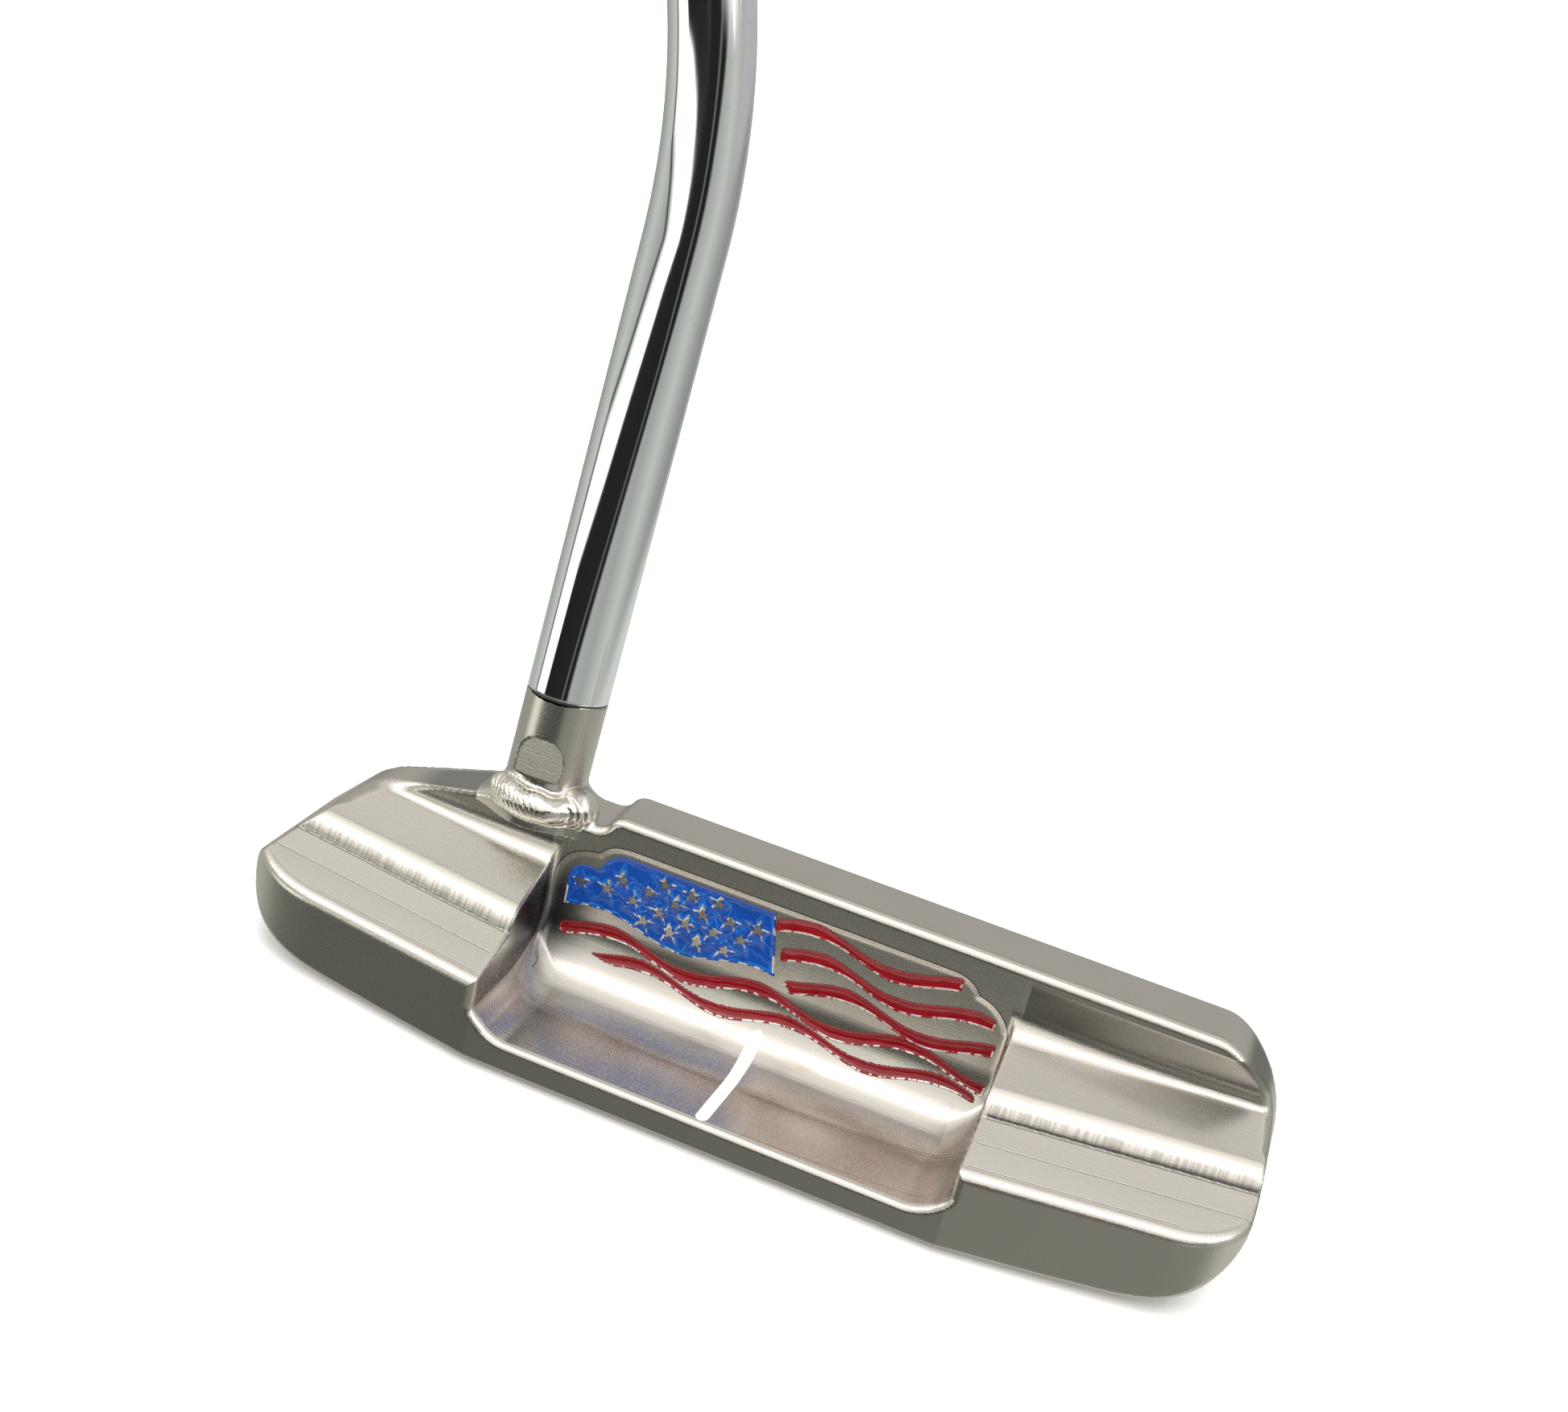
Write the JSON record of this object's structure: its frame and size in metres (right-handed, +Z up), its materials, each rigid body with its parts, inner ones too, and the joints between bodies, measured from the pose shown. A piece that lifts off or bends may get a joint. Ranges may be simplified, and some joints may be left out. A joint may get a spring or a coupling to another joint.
{
  "type": "blade putter",
  "caption": "Right-handed golf blade putter: milled steel head with heel and toe weights, welded neck, bent steel shaft and rubber grip.",
  "frame": {"origin": "on the flat of the sole, below the sight line", "axes": "+X toward the toe, +Y toward the target (out of the striking face), +Z up with the sole flat on the ground"},
  "size_m": [0.3717, 0.0465, 0.8542],
  "materials": {
    "satin_steel": "misted satin stainless steel",
    "weld_steel": "bright rippled weld",
    "shaft_chrome": "mirror chrome plating",
    "epoxy": "dark cured epoxy",
    "tape": "double-sided paper tape",
    "grip_rubber": "matt moulded rubber",
    "blue_enamel": "gloss paint fill",
    "red_enamel": "gloss paint fill",
    "white_enamel": "gloss paint fill"
  },
  "bodies": {
    "root": {"head": "satin_steel", "neck": "satin_steel", "weld_rear": "weld_steel", "weld_toe": "weld_steel", "weld_front": "weld_steel", "joint_epoxy": "epoxy", "shaft": "shaft_chrome", "grip_tape": "tape", "grip": "grip_rubber", "grip_cap": "grip_rubber", "enamel_field": "blue_enamel", "enamel_stripe_1": "red_enamel", "enamel_stripe_2": "red_enamel", "enamel_stripe_3": "red_enamel", "enamel_stripe_4": "red_enamel", "enamel_stripe_5": "red_enamel", "sight_line": "white_enamel"}
  },
  "joints": []
}
